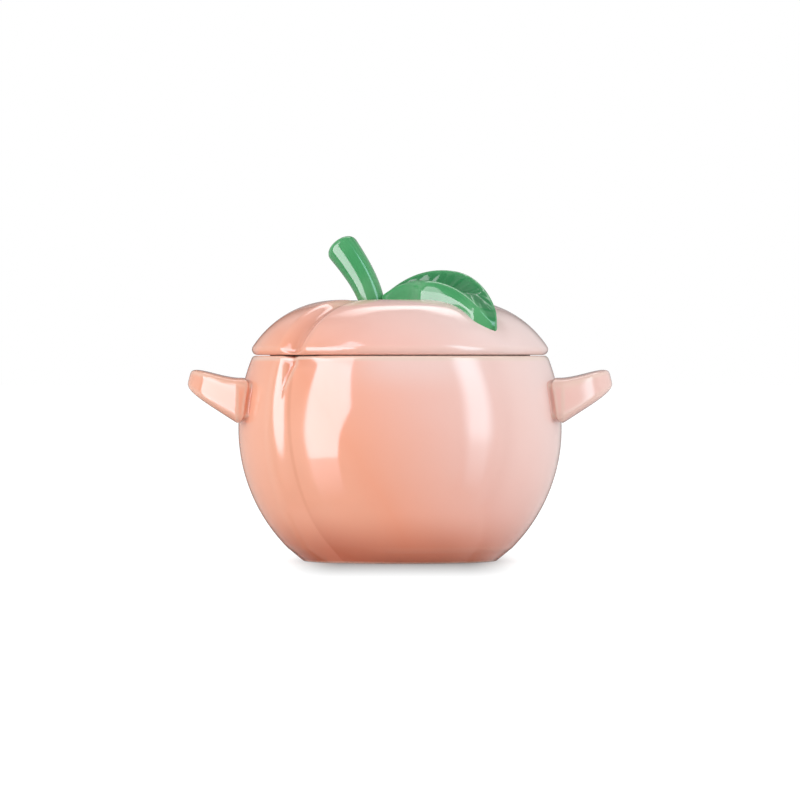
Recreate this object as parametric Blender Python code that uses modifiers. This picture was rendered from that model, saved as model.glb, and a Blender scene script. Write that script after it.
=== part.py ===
"""Peach-shaped mini cocotte in glazed stoneware: a pot with two lug handles, and a lid that lifts off, with
its locating ring, stem and leaf. Metres, +Z up, standing on z = 0 with the crease at the front left."""

import math

import bmesh
import bpy
from mathutils import Vector
from mathutils.geometry import interpolate_bezier

# Pot, with heights above the table
BELLY_RADIUS = 0.0646
BELLY_HEIGHT = 0.0530
RIM_HEIGHT = 0.0820
SHOULDER_INSET = 0.0057
RIM_WIDTH = 0.0059
RIM_ROUND = 0.0018
MOUTH_ROUND = 0.0010
THROAT_DEPTH = 0.0140
THROAT_PULL = 0.0050
MOUTH_PULL = 0.0070
POT_WALL = 0.0050
FLOOR_HEIGHT = 0.0060
FLOOR_ROUND = 0.0080
FOOT_RADIUS = 0.0382
FOOT_FLARE = 0.0067
FOOT_HEIGHT = 0.0052
FOOT_ROUND = 0.0010
FOOT_WIDTH = 0.0080
FOOT_RECESS = 0.0015

# Handles, measured from the belly and down from the rim
HANDLE_LENGTH = 0.0184
HANDLE_SLANT = 0.0024
HANDLE_SINK = 0.0120
HANDLE_DROP = 0.0088
HANDLE_LIFT = 0.0047
HANDLE_ROOT_THICKNESS = 0.0182
HANDLE_TIP_THICKNESS = 0.0096
HANDLE_HALF_WIDTH = 0.0250
HANDLE_SIDE_TAPER = 0.30
HANDLE_TIP_TAPER = 0.16
HANDLE_TIP_POWER = 6.0
HANDLE_ROUNDNESS = 6.0
HANDLE_SAG = 1.5

# Lid, with heights above its underside
SEAT_GAP = 0.0003
LID_OVERHANG = 0.0003
LID_RISE = 0.0220
LID_WALL = 0.0050
CREST_RADIUS = 0.0240
CREST_SWEEP = 0.0190
EDGE_SWEEP = 0.0090
EDGE_TILT = math.radians(33)
EDGE_ROUND = 0.0022
DIMPLE_DEPTH = 0.0040
INSIDE_RISE = 0.0100
INSIDE_SWEEP = 0.0200

# Locating ring under the lid
RING_PLAY = 0.0010
RING_WALL = 0.0045
RING_DEPTH = 0.0070
RING_CHAMFER = 0.0010

# Stem, from its root in the dimple to its tip, up, to the left and to the back
STEM_OFFSET = 0.0098
STEM_LEAN = 0.0146
STEM_BACK = 0.0095
STEM_HEIGHT = 0.0298
STEM_STRAIGHT = 0.0120
STEM_SWAY = 0.0015
STEM_ROOT_RADIUS = 0.0047
STEM_TIP_RADIUS = 0.0065
STEM_TIP_ROUND = 0.0030
STEM_TIP_STATIONS = (0.0, 0.5, 0.85, 1.0)

# Leaf, a cupped one lying to the front right of the stem, with heights above the lid's curve
LEAF_ROOT = 0.0071
LEAF_ROOT_ANGLE = math.radians(190)
LEAF_BOW = 0.0252
LEAF_BOW_ANGLE = math.radians(-21)
LEAF_TIP_INSET = 0.0052
LEAF_TIP_ANGLE = math.radians(-46.6)
LEAF_TIP_WIDTH = 0.0016
LEAF_NEAR_WIDTH = 0.0122
LEAF_FAR_WIDTH = 0.0064
LEAF_PROW_SHARE = 0.06
LEAF_PROW_TAPER = 0.8
LEAF_PROW_FALL = 0.18
LEAF_ROOT_RISE = 0.0016
LEAF_TIP_RISE = 0.0055
LEAF_NEAR_ARCH = 0.0148
LEAF_NEAR_FALL = 0.0020
LEAF_FAR_ARCH = 0.0226
LEAF_FAR_FALL = 0.0046
LEAF_CUP = 0.70
LEAF_CUP_FULLNESS = 0.6
LEAF_NEAR_LIP = -0.62
LEAF_TROUGH = -0.16
LEAF_FAR_LIP = 0.76
LEAF_FORWARD = 0.97
LEAF_BLUNTNESS = 0.83

# Crease of the fruit, from the dimple over the lid's edge and down the pot
CREASE_ANGLE = math.radians(224.2)
CREASE_SWING = math.radians(6.1)
CREASE_FOOT_SWING = math.radians(5.4)
CREASE_BEND = 10
CREASE_WIDTH = 0.0055
POT_CREASE_DEPTH = 0.0018
LID_CREASE_DEPTH = 0.0030
LID_CREASE_AIM = 0.0237
FOOT_CREASE = 0.25
RIM_CREASE = (0.3, 0.5, 0.7, 0.9)
EDGE_CREASE = (0.9, 0.7, 0.4, 0.2)

# Clearance between pieces that are stuck together
JOIN_GAP = 0.0003

# Fineness
COLUMNS = 64
CUTTER_COLUMNS = 128
CROWDING = 0.5
HANDLE_CUTS = 9
LEAF_STEPS = (24, 20)
STEM_STEPS = 12
MERGE = 0.00001

SHOULDER_RADIUS = BELLY_RADIUS - SHOULDER_INSET
MOUTH_RADIUS = SHOULDER_RADIUS - RIM_WIDTH
LID_RADIUS = SHOULDER_RADIUS + LID_OVERHANG
LID_SEAT = RIM_HEIGHT + SEAT_GAP
RING_OUTER = MOUTH_RADIUS - RING_PLAY
RING_INNER = RING_OUTER - RING_WALL

PEACH = (0.86, 0.45, 0.30, 1.0)
CREAM = (0.88, 0.74, 0.64, 1.0)
GREEN = (0.09, 0.36, 0.13, 1.0)
GLOSS = 0.15


def new_collection(name):
    collection = bpy.data.collections.new(name)
    bpy.context.scene.collection.children.link(collection)
    return collection


def new_material(name, colour):
    material = bpy.data.materials.new(name)
    material.use_nodes = True
    shader = material.node_tree.nodes["Principled BSDF"]
    shader.inputs["Base Color"].default_value = colour
    shader.inputs["Roughness"].default_value = GLOSS
    return material


def new_object(name, mesh, collection, material=None, parent=None):
    piece = bpy.data.objects.new(name, mesh)
    collection.objects.link(piece)
    piece.parent = parent
    if material:
        mesh.materials.clear()
        mesh.materials.append(material)
        mesh.shade_smooth()
    return piece


def arc(centre, radius, start, end, count):
    """Points on an arc, both ends included; angles are measured up from the outward direction."""
    angles = [start + (end - start) * i / count for i in range(count + 1)]
    return [(centre[0] + radius * math.cos(a), centre[1] + radius * math.sin(a)) for a in angles]


def sweep(start, first, second, end, count):
    """Points on a cubic curve, both ends included."""
    return [tuple(p)[:2] for p in interpolate_bezier(start, first, second, end, count + 1)]


def arc_radius(inset, rise):
    """Radius of the arc that leaves the belly upright and is inset by so much after such a rise."""
    return (inset * inset + rise * rise) / (2 * inset)


def grown(profile, gap):
    """The profile moved outwards by a gap."""
    result = []
    for i, (radius, height) in enumerate(profile):
        before = Vector(profile[max(i - 1, 0)])
        after = Vector(profile[min(i + 1, len(profile) - 1)])
        along = (after - before).normalized()
        result.append((max(radius - along.y * gap, 0.0), height + along.x * gap))
    return result


def pot_outside():
    """Outer side of the pot from the top of the rim down to the foot."""
    rise = RIM_HEIGHT - BELLY_HEIGHT
    upper = arc_radius(SHOULDER_INSET, rise)
    upper_centre = (BELLY_RADIUS - upper, BELLY_HEIGHT)
    round_height = RIM_HEIGHT - RIM_ROUND
    reach = math.sqrt((upper - RIM_ROUND) ** 2 - (round_height - BELLY_HEIGHT) ** 2)
    tilt = math.atan2(round_height - BELLY_HEIGHT, reach)
    points = arc((upper_centre[0] + reach, round_height), RIM_ROUND, math.pi / 2, tilt, 4)
    points += arc(upper_centre, upper, tilt, 0, 6)[1:]

    foot_top = FOOT_RADIUS + FOOT_FLARE
    drop = BELLY_HEIGHT - FOOT_HEIGHT
    lower = arc_radius(BELLY_RADIUS - foot_top, drop)
    points += arc((BELLY_RADIUS - lower, BELLY_HEIGHT), lower, 0, -math.asin(drop / lower), 10)[1:]
    points += arc((FOOT_RADIUS, FOOT_ROUND), FOOT_ROUND, -math.pi / 4, -math.pi / 2, 2)
    return points


def pot_inside():
    """Inner side of the pot from the middle of the floor up to the rim."""
    lower = arc_radius(BELLY_RADIUS - FOOT_RADIUS - FOOT_FLARE, BELLY_HEIGHT - FOOT_HEIGHT)
    lower_centre = (BELLY_RADIUS - lower, BELLY_HEIGHT)
    depth = BELLY_HEIGHT - FLOOR_HEIGHT - FLOOR_ROUND
    reach = math.sqrt((lower - POT_WALL - FLOOR_ROUND) ** 2 - depth ** 2)
    tilt = -math.atan2(depth, reach)
    floor_round = (lower_centre[0] + reach, FLOOR_HEIGHT + FLOOR_ROUND)
    points = [(0.0, FLOOR_HEIGHT), (floor_round[0] / 2, FLOOR_HEIGHT)]
    points += arc(floor_round, FLOOR_ROUND, -math.pi / 2, tilt, 3)
    points += arc(lower_centre, lower - POT_WALL, tilt, 0, 6)[1:]

    rise = RIM_HEIGHT - BELLY_HEIGHT
    upper = arc_radius(SHOULDER_INSET, rise)
    throat_tilt = math.asin((rise - THROAT_DEPTH) / (upper - POT_WALL))
    points += arc((BELLY_RADIUS - upper, BELLY_HEIGHT), upper - POT_WALL, 0, throat_tilt, 2)[1:]
    start = Vector(points[-1])
    end = Vector((MOUTH_RADIUS, RIM_HEIGHT - MOUTH_ROUND))
    first = start + Vector((-math.sin(throat_tilt), math.cos(throat_tilt))) * THROAT_PULL
    points += sweep(start, first, end - Vector((0, MOUTH_PULL)), end, 4)[1:]
    points += arc((MOUTH_RADIUS + MOUTH_ROUND, end.y), MOUTH_ROUND, math.pi, math.pi / 2, 2)[1:]
    return points


def pot_base():
    """Underside of the pot from the foot's inner edge to the middle of the recess."""
    inner = FOOT_RADIUS - FOOT_WIDTH
    return [(inner, 0.0), (inner - FOOT_RECESS, FOOT_RECESS), (0.0, FOOT_RECESS)]


def lid_outside():
    """Top of the lid from the middle of the dimple out to where its edge starts to turn under."""
    points = []
    for i in range(6):
        radius = CREST_RADIUS * i / 6
        hollow = DIMPLE_DEPTH * (1 + math.cos(math.pi * i / 6)) / 2
        points.append((radius, LID_RISE - hollow))
    crest = Vector((CREST_RADIUS, LID_RISE))
    edge = Vector(lid_edge()[0])
    down = Vector((math.sin(EDGE_TILT), -math.cos(EDGE_TILT)))
    return points + sweep(crest, crest + Vector((CREST_SWEEP, 0)), edge - down * EDGE_SWEEP, edge, 11)


def lid_edge():
    """The lid's rounded edge, from its side to its underside."""
    return arc((LID_RADIUS - EDGE_ROUND, EDGE_ROUND), EDGE_ROUND, EDGE_TILT, -math.pi / 2, 5)


def lid_inside():
    """Underside of the lid from its edge to the middle."""
    top = LID_RISE - LID_WALL
    start = Vector((RING_INNER, 0.0))
    end = Vector((CREST_RADIUS, top))
    inner = sweep(start, start + Vector((0, INSIDE_RISE)), end + Vector((INSIDE_SWEEP, 0)), end, 7)
    return lid_edge() + inner + [(CREST_RADIUS / 2, top - DIMPLE_DEPTH / 2), (0.0, top - DIMPLE_DEPTH)]


def lid_height(radius, dimple=True):
    """Height of the lid's top at a radius, without the crease."""
    if radius < CREST_RADIUS and not dimple:
        return LID_RISE
    points = lid_outside()
    for (inner, low), (outer, high) in zip(points, points[1:]):
        if radius <= outer:
            return low + (high - low) * (radius - inner) / (outer - inner)
    return 0.0


def turned(name, profile, collection, columns, material=None, parent=None, weights=None):
    """A profile of (radius, height) points turned about the upright axis."""
    mesh = bpy.data.meshes.new(name)
    mesh.from_pydata([(r, 0, z) for r, z in profile], [(i, i + 1) for i in range(len(profile) - 1)], [])
    piece = new_object(name, mesh, collection, material, parent)
    if weights:
        group = piece.vertex_groups.new(name="crease")
        for i, weight in enumerate(weights):
            group.add([i], weight, "REPLACE")
    screw = piece.modifiers.new("Turn", "SCREW")
    screw.steps = columns
    screw.render_steps = columns
    screw.use_merge_vertices = True
    screw.merge_threshold = MERGE
    screw.use_smooth_shade = True
    return piece


def bake(piece):
    """Gives the piece the mesh that its modifiers make."""
    graph = bpy.context.evaluated_depsgraph_get()
    mesh = bpy.data.meshes.new_from_object(piece.evaluated_get(graph))
    piece.modifiers.clear()
    piece.data = mesh


def press_crease(piece, depth, angle_at, aim):
    """Lets the first column follow the crease, crowds the others towards it and presses it in."""
    group = piece.vertex_groups["crease"].index
    for vertex in piece.data.vertices:
        radius = vertex.co.xy.length
        offset = math.atan2(vertex.co.y, vertex.co.x)
        offset -= CROWDING * math.sin(offset)
        weight = sum(entry.weight for entry in vertex.groups if entry.group == group)
        press = depth * weight * math.exp(-abs(offset) * radius / CREASE_WIDTH)
        angle = angle_at(vertex.co.z) + offset
        spot = Vector((radius * math.cos(angle), radius * math.sin(angle), vertex.co.z))
        vertex.co = spot + (aim - spot).normalized() * press
    piece.data.shade_smooth()


def pot_crease_angle(height):
    down = max(1 - height / RIM_HEIGHT, 0.0)
    return CREASE_ANGLE + CREASE_SWING * down + CREASE_FOOT_SWING * down ** CREASE_BEND


def lid_crease_angle(height):
    return CREASE_ANGLE


def cut_by(piece, cutter):
    cut = piece.modifiers.new("Seat", "BOOLEAN")
    cut.operation = "DIFFERENCE"
    cut.solver = "EXACT"
    cut.object = cutter


def handle_mesh():
    """A rounded block drawn out to a tongue that thins and rises towards its tip; its tip is at +X."""
    block = bmesh.new()
    bmesh.ops.create_cube(block, size=2)
    bmesh.ops.subdivide_edges(block, edges=block.edges[:], cuts=HANDLE_CUTS, use_grid_fill=True)
    middle = (HANDLE_LENGTH - HANDLE_SINK) / 2
    half_length = (HANDLE_LENGTH + HANDLE_SINK) / 2
    for vertex in block.verts:
        u, v, w = vertex.co
        size = sum(abs(c) ** HANDLE_ROUNDNESS for c in vertex.co) ** (1 / HANDLE_ROUNDNESS)
        x = middle + half_length * u / size
        out = max(x / HANDLE_LENGTH, 0.0)
        top = HANDLE_LIFT * out ** HANDLE_SAG
        bottom = -HANDLE_ROOT_THICKNESS * (1 - out) + (HANDLE_LIFT - HANDLE_TIP_THICKNESS) * out
        under = (1 - w / size) / 2
        narrowing = 1 - HANDLE_SIDE_TAPER * out - HANDLE_TIP_TAPER * out ** HANDLE_TIP_POWER
        x += HANDLE_SLANT * out * under
        vertex.co = (x, HANDLE_HALF_WIDTH * narrowing * v / size, top + (bottom - top) * under)
    mesh = bpy.data.meshes.new("handle")
    block.to_mesh(mesh)
    block.free()
    return mesh


def stem_mesh(root, gap=0.0):
    """A curved tube from the root in the lid up to a rounded tip, wider at the top and grown by a gap."""
    tip = root + Vector((-STEM_LEAN, STEM_BACK, STEM_HEIGHT))
    control = root + Vector((-STEM_SWAY, 0, STEM_STRAIGHT))
    path = interpolate_bezier(root, control, control.lerp(tip, 0.5), tip, STEM_STEPS)
    length = (tip - root).length
    stations = path[:-2] + [path[-2].lerp(path[-1], share) for share in STEM_TIP_STATIONS]
    curve = bpy.data.curves.new("stem_path", "CURVE")
    curve.dimensions = "3D"
    curve.bevel_depth = 1.0
    curve.bevel_resolution = 4
    curve.use_fill_caps = True
    spline = curve.splines.new("POLY")
    spline.points.add(len(stations) - 1)
    for point, station in zip(spline.points, stations):
        share = (station - root).length / length
        left = (tip - station).length
        inset = max(1 - left / STEM_TIP_ROUND, 0.0)
        radius = gap + STEM_ROOT_RADIUS + (STEM_TIP_RADIUS - STEM_ROOT_RADIUS) * share
        point.co = (*station, 1.0)
        point.radius = radius - STEM_TIP_ROUND * (1 - math.sqrt(1 - inset ** 2))
    carrier = new_object("stem_path", curve, bpy.context.scene.collection)
    graph = bpy.context.evaluated_depsgraph_get()
    mesh = bpy.data.meshes.new_from_object(carrier.evaluated_get(graph))
    mesh.name = "stem"
    bpy.data.objects.remove(carrier)
    shell = bmesh.new()
    shell.from_mesh(mesh)
    bmesh.ops.remove_doubles(shell, verts=shell.verts[:], dist=MERGE)
    bmesh.ops.recalc_face_normals(shell, faces=shell.faces[:])
    shell.to_mesh(mesh)
    shell.free()
    return mesh


def along_cubic(values, share):
    """A value part of the way along a cubic curve with four control values."""
    rest = 1 - share
    weights = (rest ** 3, 3 * rest ** 2 * share, 3 * rest * share ** 2, share ** 3)
    return sum(weight * value for weight, value in zip(weights, values))


def ease(start, end, share):
    return start + (end - start) * share * share * (3 - 2 * share)


def leaf_rise(u, v):
    """Height of the leaf above the lid: u runs from root to tip, v from its near edge to its far edge."""
    near = along_cubic((LEAF_ROOT_RISE, LEAF_NEAR_ARCH, LEAF_NEAR_FALL, LEAF_TIP_RISE), u)
    far = along_cubic((LEAF_ROOT_RISE, LEAF_FAR_ARCH, LEAF_FAR_FALL, LEAF_TIP_RISE), u)
    end = max(1 - (1 - u) / LEAF_PROW_SHARE, 0.0)
    near *= 1 - LEAF_PROW_FALL * end ** 2
    far *= 1 - LEAF_PROW_FALL * end ** 2
    cup = min(near, far) * (1 - LEAF_CUP * max(math.sin(math.pi * u), 0.0) ** LEAF_CUP_FULLNESS)
    if v < LEAF_NEAR_LIP:
        return near * math.sqrt(max(1 - ((v - LEAF_NEAR_LIP) / (1 + LEAF_NEAR_LIP)) ** 2, 0.0))
    if v < LEAF_TROUGH:
        return ease(near, cup, (v - LEAF_NEAR_LIP) / (LEAF_TROUGH - LEAF_NEAR_LIP))
    if v < LEAF_FAR_LIP:
        return ease(cup, far, (v - LEAF_TROUGH) / (LEAF_FAR_LIP - LEAF_TROUGH))
    return far * math.sqrt(max(1 - ((v - LEAF_FAR_LIP) / (1 - LEAF_FAR_LIP)) ** 2, 0.0))


def polar(radius, angle):
    return Vector((math.cos(angle), math.sin(angle))) * radius


def leaf_mesh():
    """A grid drawn along the bowed midrib, raised over the lid and thickened down into it."""
    root = polar(LEAF_ROOT, LEAF_ROOT_ANGLE)
    bow = polar(LEAF_BOW, LEAF_BOW_ANGLE)
    tip = polar(LID_RADIUS - LEAF_TIP_INSET, LEAF_TIP_ANGLE)
    block = bmesh.new()
    bmesh.ops.create_grid(block, x_segments=LEAF_STEPS[0], y_segments=LEAF_STEPS[1], size=1)
    for vertex in block.verts:
        u = (vertex.co.x + 1) / 2
        v = vertex.co.y
        rib = root * (1 - u) ** 2 + bow * 2 * u * (1 - u) + tip * u ** 2
        along = ((bow - root) * (1 - u) + (tip - bow) * u).normalized()
        widest = LEAF_NEAR_WIDTH if v < 0 else LEAF_FAR_WIDTH
        end = max(1 - (1 - u) / LEAF_PROW_SHARE, 0.0)
        half_width = LEAF_TIP_WIDTH * (1 - LEAF_PROW_TAPER * end ** 2)
        half_width += widest * max(math.sin(math.pi * u ** LEAF_FORWARD), 0.0) ** LEAF_BLUNTNESS
        spot = rib + Vector((-along.y, along.x)) * half_width * v
        vertex.co = (spot.x, spot.y, lid_height(spot.length, False) + leaf_rise(u, v))
    thick = bmesh.ops.extrude_face_region(block, geom=block.faces[:])
    for vertex in thick["geom"]:
        if isinstance(vertex, bmesh.types.BMVert):
            vertex.co.z = EDGE_ROUND
    bmesh.ops.recalc_face_normals(block, faces=block.faces[:])
    mesh = bpy.data.meshes.new("leaf")
    block.to_mesh(mesh)
    block.free()
    return mesh


def make_pot(parts, cutters, peach):
    inside = pot_inside()
    outside = pot_outside()
    base = pot_base()
    depths = []
    for radius, height in outside:
        share = FOOT_CREASE + (1 - FOOT_CREASE) * height / RIM_HEIGHT
        depths.append(share if height > FOOT_ROUND else 0.0)
    for i, share in enumerate(RIM_CREASE):
        depths[i] *= share
    weights = [0.0] * len(inside) + depths + [0.0] * len(base)
    pot = turned("pot_body", inside + outside + base, parts, COLUMNS, peach, weights=weights)
    bake(pot)
    press_crease(pot, POT_CREASE_DEPTH, pot_crease_angle, Vector((0, 0, BELLY_HEIGHT)))

    skin = grown(outside, JOIN_GAP)
    core = [(0.0, RIM_HEIGHT + JOIN_GAP)] + skin + [(0.0, skin[-1][1])]
    cutter = turned("pot_cutter", core, cutters, CUTTER_COLUMNS)
    shape = handle_mesh()
    for name, side, turn in (("left_handle", -1, math.pi), ("right_handle", 1, 0.0)):
        handle = new_object(name, shape, parts, peach)
        handle.location = (side * BELLY_RADIUS, 0, RIM_HEIGHT - HANDLE_DROP)
        handle.rotation_euler.z = turn
        cut_by(handle, cutter)


def make_lid(parts, cutters, peach, cream, green):
    axis = bpy.data.objects.new("lid_axis", None)
    axis.location.z = LID_SEAT
    parts.objects.link(axis)

    outside = lid_outside()
    inside = lid_inside()
    weights = [min(r / CREST_RADIUS, 1.0) for r, z in outside] + list(EDGE_CREASE)
    weights += [0.0] * (len(inside) - 1 - len(EDGE_CREASE))
    dome = turned("lid_dome", outside + inside[1:], parts, COLUMNS, peach, axis, weights)
    bake(dome)
    press_crease(dome, LID_CREASE_DEPTH, lid_crease_angle, Vector((0, 0, -LID_CREASE_AIM)))

    section = [(RING_INNER, -JOIN_GAP), (RING_OUTER, -JOIN_GAP)]
    section += [(RING_OUTER, RING_CHAMFER - RING_DEPTH), (RING_OUTER - RING_CHAMFER, -RING_DEPTH)]
    section += [(RING_INNER + RING_CHAMFER, -RING_DEPTH), (RING_INNER, RING_CHAMFER - RING_DEPTH)]
    turned("lid_ring", section + section[:1], parts, COLUMNS, cream, axis)

    skin = grown(outside, JOIN_GAP)
    core = skin + [(LID_RADIUS, 0.0), (0.0, 0.0)]
    cutter = turned("lid_cutter", core, cutters, CUTTER_COLUMNS, parent=axis)
    root = Vector((-STEM_OFFSET, 0, lid_height(STEM_OFFSET) - STEM_ROOT_RADIUS))
    stem = new_object("stem", stem_mesh(root), parts, green, axis)
    cut_by(stem, cutter)
    stem_cutter = new_object("stem_cutter", stem_mesh(root, JOIN_GAP), cutters, parent=axis)
    leaf = new_object("leaf", leaf_mesh(), parts, green, axis)
    cut_by(leaf, cutter)
    cut_by(leaf, stem_cutter)


for old in list(bpy.data.objects):
    bpy.data.objects.remove(old)
part_collection = new_collection("mini_cocotte")
cutter_collection = new_collection("cutters")
peach_glaze = new_material("peach_glaze", PEACH)
cream_glaze = new_material("cream_glaze", CREAM)
green_glaze = new_material("green_glaze", GREEN)
make_pot(part_collection, cutter_collection, peach_glaze)
make_lid(part_collection, cutter_collection, peach_glaze, cream_glaze, green_glaze)
for tool in cutter_collection.objects:
    tool.hide_render = True
    tool.display_type = "WIRE"
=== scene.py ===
"""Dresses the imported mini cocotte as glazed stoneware: a peach-shaped pot with lug handles, and a lid with
a stem and a leaf, on a pale studio floor."""

import math

import bmesh
import bpy
import numpy as np
from bpy.props import FloatProperty, FloatVectorProperty, PointerProperty
from bpy.types import Operator, Panel, PropertyGroup
from mathutils import Matrix, Vector
from mathutils.geometry import interpolate_bezier


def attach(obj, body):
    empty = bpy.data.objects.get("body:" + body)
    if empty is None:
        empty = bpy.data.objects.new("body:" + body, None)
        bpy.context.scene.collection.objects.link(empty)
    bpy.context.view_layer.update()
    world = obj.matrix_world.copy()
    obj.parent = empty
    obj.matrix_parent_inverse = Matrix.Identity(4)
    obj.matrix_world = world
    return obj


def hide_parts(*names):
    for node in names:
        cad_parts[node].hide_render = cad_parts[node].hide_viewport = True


bl_info = {
    "name": "Mini cocotte",
    "version": (1, 0, 0),
    "blender": (4, 5, 0),
    "location": "View3D > Sidebar > Cocotte",
    "description": "Glazed pieces and a photo stage for the packed mini cocotte",
    "category": "Object",
}

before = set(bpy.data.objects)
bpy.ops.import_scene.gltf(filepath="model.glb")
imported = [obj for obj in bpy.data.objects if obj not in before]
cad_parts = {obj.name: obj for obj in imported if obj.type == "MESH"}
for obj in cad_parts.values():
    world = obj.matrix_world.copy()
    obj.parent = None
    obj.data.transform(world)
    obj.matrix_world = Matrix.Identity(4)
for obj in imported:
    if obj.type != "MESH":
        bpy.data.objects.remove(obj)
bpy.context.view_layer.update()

# Fineness of the meshes
POT_COLUMNS = 224
LID_COLUMNS = 192
RING_COLUMNS = 128
RIM_STEPS = 12
SHOULDER_STEPS = 22
BELLY_STEPS = 44
FLARE_STEPS = 8
FOOT_STEPS = 6
FLOOR_STEPS = 6
CORNER_STEPS = 10
LOWER_WALL_STEPS = 18
UPPER_WALL_STEPS = 6
THROAT_STEPS = 12
MOUTH_STEPS = 6
DIMPLE_STEPS = 20
DOME_STEPS = 48
EDGE_STEPS = 16
UNDERSIDE_STEPS = 20
BULGE_STEPS = 10
RING_STEPS = 6
HANDLE_SIDES = 144
HANDLE_STATIONS = 60
ROOT_STEPS = 10
HALVINGS = 24
STEM_STATIONS = 56
STEM_SIDES = 56
TIP_STEPS = 10
CAP_STEPS = 8
LEAF_STEPS = (150, 130)

# How much closer the columns of a turned piece stand at its crease
CROWDING = 0.5

# How much of its depth the pot's crease still has on top of the rim
RIM_PRESS = 0.3

# How much of the pot's crease darkening the lid's crease has; on the lid it covers the whole pressed valley
# as painted shade
LID_LINE = 0.75

# How far the glaze in a handle's groove ends under the pot's surface
ROOT_SINK = 0.00005

# How far to either side a handle's line is searched for its place on the pot
TURN_LIMIT = math.pi / 3

# Step for measuring which way the pot's side faces
PROBE = 0.00005

# How much of the lid's wall the leaf's underside lies in
LEAF_BED = 0.25

# How soon the leaf's cup counts as fully darker with thick glaze and painted shade
CUP_MARK = 6.0

# How sharply an edge or a hollow has to bend to count fully, as a radius
EDGE_RADIUS = 0.0022
HOLLOW_RADIUS = 0.0030

# Square of the shortest step that a bend is measured over
SHORTEST = 1e-12


def length(name, description, default):
    return FloatProperty(
        name=name, description=description, default=default, unit="LENGTH", subtype="DISTANCE", precision=4
    )


def share(name, description, default):
    return FloatProperty(name=name, description=description, default=default)


def angle(name, description, default):
    return FloatProperty(
        name=name, description=description, default=math.radians(default), unit="ROTATION", subtype="ANGLE"
    )


def colour(name, description, default):
    return FloatVectorProperty(
        name=name, description=description, default=default, size=3, min=0.0, max=1.0, subtype="COLOR"
    )


class PotSizes(PropertyGroup):
    belly_radius: length("Belly radius", "Radius where the pot is widest", 0.0646)
    belly_height: length("Belly height", "Height of the widest place above the table", 0.0530)
    rim_height: length("Rim height", "Height of the rim above the table", 0.0820)
    shoulder_inset: length("Shoulder inset", "How far the rim lies inside the belly", 0.0057)
    rim_width: length("Rim width", "Width of the rim from its outside to the mouth", 0.0059)
    rim_round: length("Rim round", "Rounding of the rim's outer edge", 0.0018)
    mouth_round: length("Mouth round", "Rounding of the rim's inner edge", 0.0010)
    throat_depth: length("Throat depth", "Height over which the rim thins down to the wall", 0.0140)
    throat_pull: length("Throat pull", "How long the throat keeps the wall's direction", 0.0050)
    mouth_pull: length("Mouth pull", "How long the throat runs straight below the mouth", 0.0070)
    wall: length("Wall", "Thickness of the wall", 0.0050)
    floor_height: length("Floor height", "Height of the floor inside above the table", 0.0060)
    floor_round: length("Floor round", "Rounding between floor and wall inside", 0.0080)
    foot_radius: length("Foot radius", "Radius of the foot on the table", 0.0382)
    foot_flare: length("Foot flare", "How much wider the body is on top of the foot", 0.0067)
    foot_height: length("Foot height", "Height of the foot", 0.0052)
    foot_round: length("Foot round", "Rounding of the foot's outer edge", 0.0010)
    foot_width: length("Foot width", "Width of the ring that the pot stands on", 0.0080)
    foot_recess: length("Foot recess", "Depth of the recess inside that ring", 0.0015)


class HandleSizes(PropertyGroup):
    reach: length("Reach", "How far a handle's top stands out from the belly", 0.0184)
    slant: length("Slant", "How much further the underside stands out at the tip", 0.0024)
    sink: length("Sink", "How far the block starts inside the belly", 0.0120)
    drop: length("Drop", "Depth of the root's top below the rim", 0.0088)
    lift: length("Lift", "How much higher the top is at the tip", 0.0047)
    root_thickness: length("Root thickness", "Thickness at the belly", 0.0182)
    tip_thickness: length("Tip thickness", "Thickness at the tip", 0.0096)
    half_width: length("Half width", "Half the width at the belly", 0.0250)
    side_taper: share("Side taper", "How much narrower the tip is, evenly along the sides", 0.30)
    tip_taper: share("Tip taper", "How much narrower the tip is, drawn in towards its end", 0.16)
    tip_power: share("Tip power", "How near the end it is drawn in: more is nearer", 5.0)
    roundness: share("Roundness", "Power of the tip's rounding: 2 is a ball, more is a crisper block", 4.5)
    crispness: share("Crispness", "Power of the rounding of the long edges", 6.0)
    sag: share("Sag", "Hollow of the top towards the tip: 1 is straight", 1.5)
    groove: length("Groove", "Depth of the groove between the root and the pot", 0.0012)
    root_round: length("Root round", "How far from the pot the root rounds down to that groove", 0.0018)
    fillet: length("Fillet", "Radius of the glaze in the groove", 0.0010)
    bed: length("Bed", "How deep the root lies in the pot's wall", 0.0015)


class LidSizes(PropertyGroup):
    seat_gap: length("Seat gap", "Gap between the rim and the lid", 0.0003)
    overhang: length("Overhang", "How much wider the lid is than the rim", 0.0003)
    rise: length("Rise", "Height of the crest above the underside", 0.0220)
    wall: length("Wall", "Thickness of the lid", 0.0050)
    crest_radius: length("Crest radius", "Radius of the crest round the dimple", 0.0240)
    crest_sweep: length("Crest sweep", "How long the curve stays level outside the crest", 0.0190)
    edge_sweep: length("Edge sweep", "How long the curve keeps its slope above the edge", 0.0090)
    edge_tilt: angle("Edge tilt", "How far the side leans back where the edge starts to turn under", 33)
    edge_round: length("Edge round", "Rounding of the edge", 0.0022)
    dimple_depth: length("Dimple depth", "Depth of the dimple round the stem", 0.0040)
    inside_rise: length("Inside rise", "How long the underside stays upright above the ring", 0.0100)
    inside_sweep: length("Inside sweep", "How long the underside stays level at the crest", 0.0200)
    ring_play: length("Ring play", "Gap between the locating ring and the mouth", 0.0010)
    ring_wall: length("Ring wall", "Thickness of the locating ring", 0.0045)
    ring_depth: length("Ring depth", "Depth of the locating ring below the lid", 0.0070)
    ring_chamfer: length("Ring chamfer", "Rounding of the ring's lower edges", 0.0010)
    ring_bed: length("Ring bed", "How deep the ring lies in the lid", 0.0006)


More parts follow.
